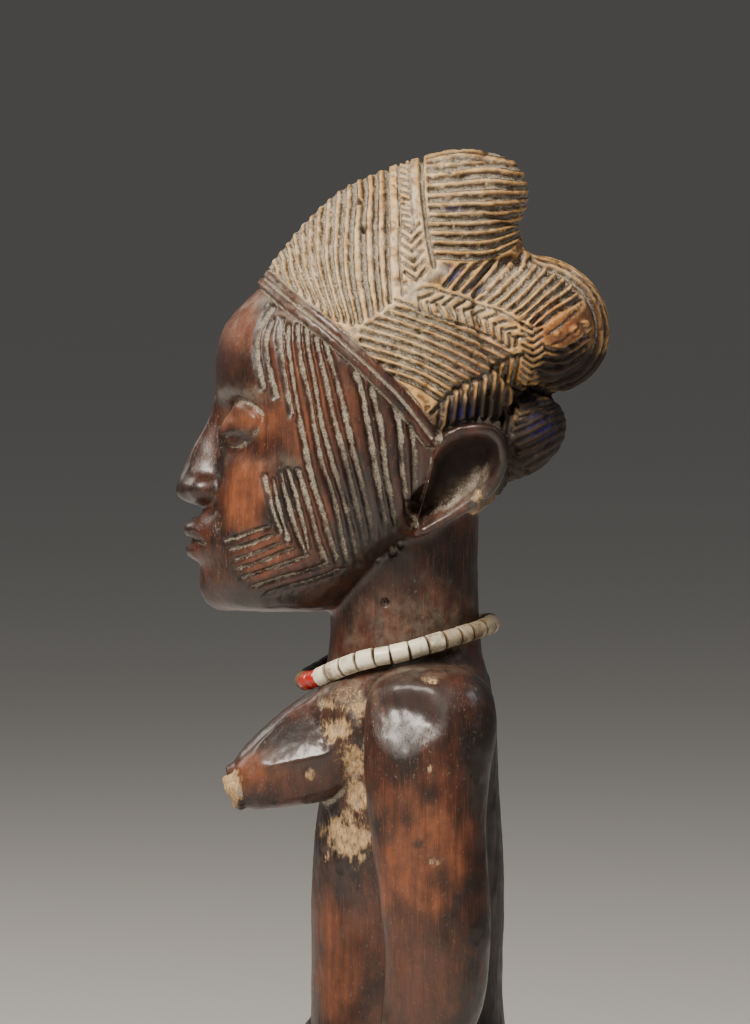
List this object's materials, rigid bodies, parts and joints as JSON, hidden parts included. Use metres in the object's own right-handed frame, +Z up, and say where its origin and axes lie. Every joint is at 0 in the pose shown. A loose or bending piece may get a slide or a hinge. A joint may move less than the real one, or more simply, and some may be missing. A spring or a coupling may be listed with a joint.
{
  "type": "ibeji figure",
  "caption": "Carved wooden standing female twin figure with a high plaited coiffure, on a low round plinth, with a string of glass beads round the neck.",
  "frame": {"origin": "middle of the plinth's flat underside", "axes": "+Z up along the figure's height, the figure faces -Y, its left side is at +X"},
  "size_m": [0.0798, 0.0953, 0.2863],
  "materials": {
    "wood": "handled, dark red-brown gloss",
    "string": "twisted cotton thread, soiled",
    "white_glass": "opaque glass, soiled",
    "red_glass": "opaque glass, glossy",
    "brown_bead": "opaque glass, soiled",
    "dark_glass": "opaque glass, soiled"
  },
  "bodies": {
    "root": {"bead_brown_1": "brown_bead", "bead_dark_1": "dark_glass", "bead_dark_10": "dark_glass", "bead_dark_11": "dark_glass", "bead_dark_12": "dark_glass", "bead_dark_13": "dark_glass", "bead_dark_2": "dark_glass", "bead_dark_3": "dark_glass", "bead_dark_4": "dark_glass", "bead_dark_5": "dark_glass", "bead_dark_6": "dark_glass", "bead_dark_7": "dark_glass", "bead_dark_8": "dark_glass", "bead_dark_9": "dark_glass", "bead_red_1": "red_glass", "bead_red_2": "red_glass", "bead_white_1": "white_glass", "bead_white_10": "white_glass", "bead_white_11": "white_glass", "bead_white_12": "white_glass", "bead_white_13": "white_glass", "bead_white_14": "white_glass", "bead_white_15": "white_glass", "bead_white_16": "white_glass", "bead_white_17": "white_glass", "bead_white_2": "white_glass", "bead_white_3": "white_glass", "bead_white_4": "white_glass", "bead_white_5": "white_glass", "bead_white_6": "white_glass", "bead_white_7": "white_glass", "bead_white_8": "white_glass", "bead_white_9": "white_glass", "figure": "wood", "necklace_string": "string"}
  },
  "joints": []
}
